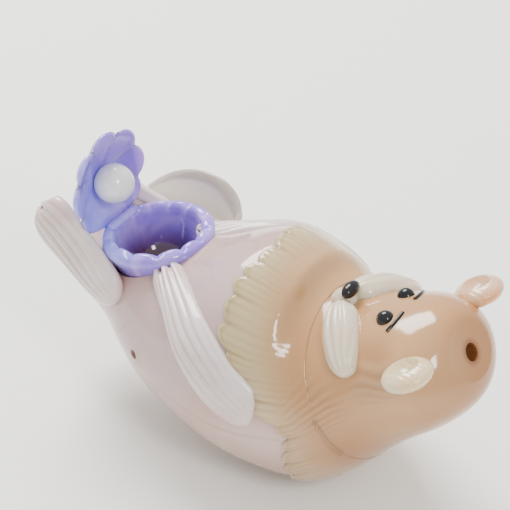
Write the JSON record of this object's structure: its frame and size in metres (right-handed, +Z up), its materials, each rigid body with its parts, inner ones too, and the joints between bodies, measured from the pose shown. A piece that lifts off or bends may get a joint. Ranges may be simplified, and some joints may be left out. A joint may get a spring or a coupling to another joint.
{
  "type": "bubbling ornament",
  "caption": "Hollow lampworked glass otter on its back, holding an open clam shell bowl with a pearl; the bowl drains into the hollow body.",
  "frame": {"origin": "middle of the finished piece in plan, on the surface it rests on", "axes": "+X towards the crown of the head, +Z up, -Y the otter's left side"},
  "size_m": [0.1276, 0.063, 0.0767],
  "materials": {
    "body_glass": "glossy opal lilac-grey glass with a faint combed line texture",
    "head_glass": "glossy opal glass, cream turning to peach tan at the crown",
    "cream_glass": "glossy opal cream glass with combed strokes",
    "lavender_glass": "glossy opal lavender glass",
    "clear_glass": "clear drawn glass tube",
    "pearl_glass": "opal white ball",
    "limb_glass": "glossy opal white-pink glass, combed lengthwise",
    "tail_glass": "clear glass over a milky pink core",
    "black_glass": "glossy black glass",
    "ear_glass": "glossy opal peach glass with a cream cup"
  },
  "bodies": {
    "root": {"body_shell": "body_glass", "head_shell": "head_glass", "fur_collar": "cream_glass", "shell_bowl": "lavender_glass", "dip_tube": "clear_glass", "shell_lid": "lavender_glass", "lid_weld": "lavender_glass", "pearl": "pearl_glass", "left_arm": "limb_glass", "right_arm": "limb_glass", "left_foot": "limb_glass", "right_foot": "limb_glass", "tail": "tail_glass", "left_muzzle_pad": "cream_glass", "right_muzzle_pad": "cream_glass", "chin": "cream_glass", "nose": "black_glass", "left_eye": "black_glass", "right_eye": "black_glass", "left_brow": "black_glass", "right_brow": "black_glass", "left_ear": "ear_glass", "right_ear": "ear_glass"}
  },
  "joints": []
}
